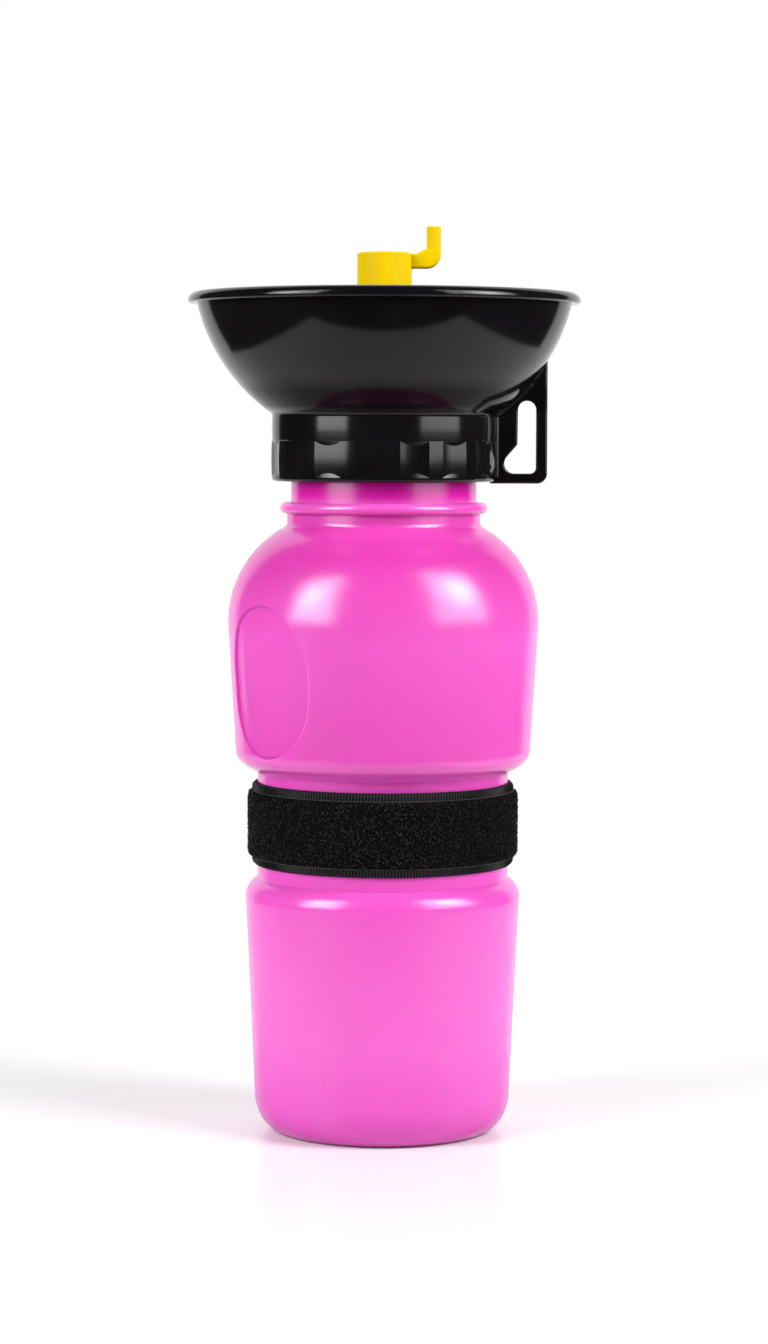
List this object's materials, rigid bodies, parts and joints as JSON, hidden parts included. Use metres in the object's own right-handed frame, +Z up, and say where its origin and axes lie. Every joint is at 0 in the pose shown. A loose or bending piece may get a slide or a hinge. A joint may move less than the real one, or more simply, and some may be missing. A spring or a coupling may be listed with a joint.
{
  "type": "squeeze pet water bottle with bowl cap",
  "caption": "Squeeze water bottle for pets with a screw-on drinking bowl cap, lever valve, dip tube, hanging lug and hook-and-loop waist strap.",
  "frame": {"origin": "centre of the foot on the bottle's axis, on the surface that it stands on", "axes": "+Z up along the bottle's axis, +X towards the hanging lug and the lever of the closed valve"},
  "size_m": [0.1014, 0.1014, 0.2352],
  "materials": {
    "bottle_plastic": "translucent satin low-density polyethylene",
    "cap_plastic": "glossy black polypropylene",
    "valve_plastic": "satin yellow polypropylene",
    "silicone": "translucent silicone",
    "ring_rubber": "black nitrile rubber",
    "tube_plastic": "natural polyethylene",
    "loop_tape": "black brushed loop pile with woven selvedges",
    "hook_tape": "black woven hook tape",
    "thread": "black bonded thread"
  },
  "bodies": {
    "bottle": {"bottle": "bottle_plastic", "strap_loop_tape": "loop_tape", "strap_hook_patch": "hook_tape", "strap_stitching": "thread"},
    "cap_seal": {"cap_gasket": "silicone"},
    "bowl_cap": {"bowl_cap": "cap_plastic", "valve_post": "cap_plastic", "post_washer": "silicone", "lower_o_ring": "ring_rubber", "upper_o_ring": "ring_rubber", "dip_tube": "tube_plastic"},
    "valve": {"valve_sleeve": "valve_plastic"}
  },
  "joints": [
    {"name": "cap_lift", "type": "slide", "parent": "bottle", "child": "cap_seal", "axis": [0, 0, 1], "range_m": [0, 0.00736]},
    {"name": "cap_turn", "type": "hinge", "parent": "cap_seal", "child": "bowl_cap", "pos_m": [0, 0, 0.177], "axis": [0, 0, 1], "range_deg": [0, 630]},
    {"name": "valve_turn", "type": "hinge", "parent": "bowl_cap", "child": "valve", "pos_m": [0, 0, 0.2], "axis": [0, 0, 1], "range_deg": [0, 90]}
  ],
  "couplings": [
    {"joint": "cap_lift", "follows": "cap_turn", "m_per_rad": 0.00066845}
  ]
}
